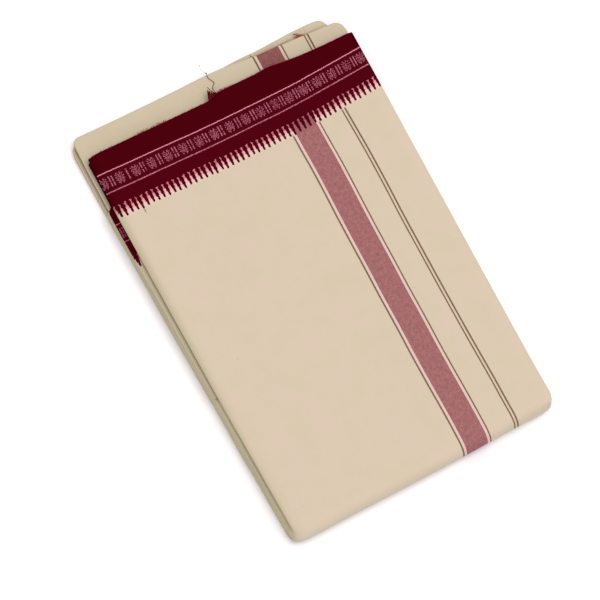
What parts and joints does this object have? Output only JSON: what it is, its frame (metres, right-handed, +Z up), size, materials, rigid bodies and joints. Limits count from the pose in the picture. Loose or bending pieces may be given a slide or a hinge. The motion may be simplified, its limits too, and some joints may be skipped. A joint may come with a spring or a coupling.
{
  "type": "dhoti cloth",
  "caption": "Unstitched cotton dhoti folded into a flat packet, with a figured selvedge border, temple spikes and woven stripes across its top leaf.",
  "frame": {"origin": "middle of the packet's footprint, on the surface it rests on", "axes": "+Z up out of the top leaf, +Y along the packet from its near fold towards the selvedge, +X to the right across the stripes"},
  "size_m": [0.2146, 0.3454, 0.022],
  "materials": {
    "cream_cotton": "unbleached plain-weave cotton, soft and matt",
    "border_yarn": "dyed maroon cotton, matt with a faint sheen"
  },
  "bodies": {
    "root": {"front_leaf": "cream_cotton", "second_leaf": "cream_cotton", "inner_leaf": "cream_cotton", "lower_leaf": "cream_cotton", "hidden_layers": "cream_cotton"}
  },
  "joints": []
}
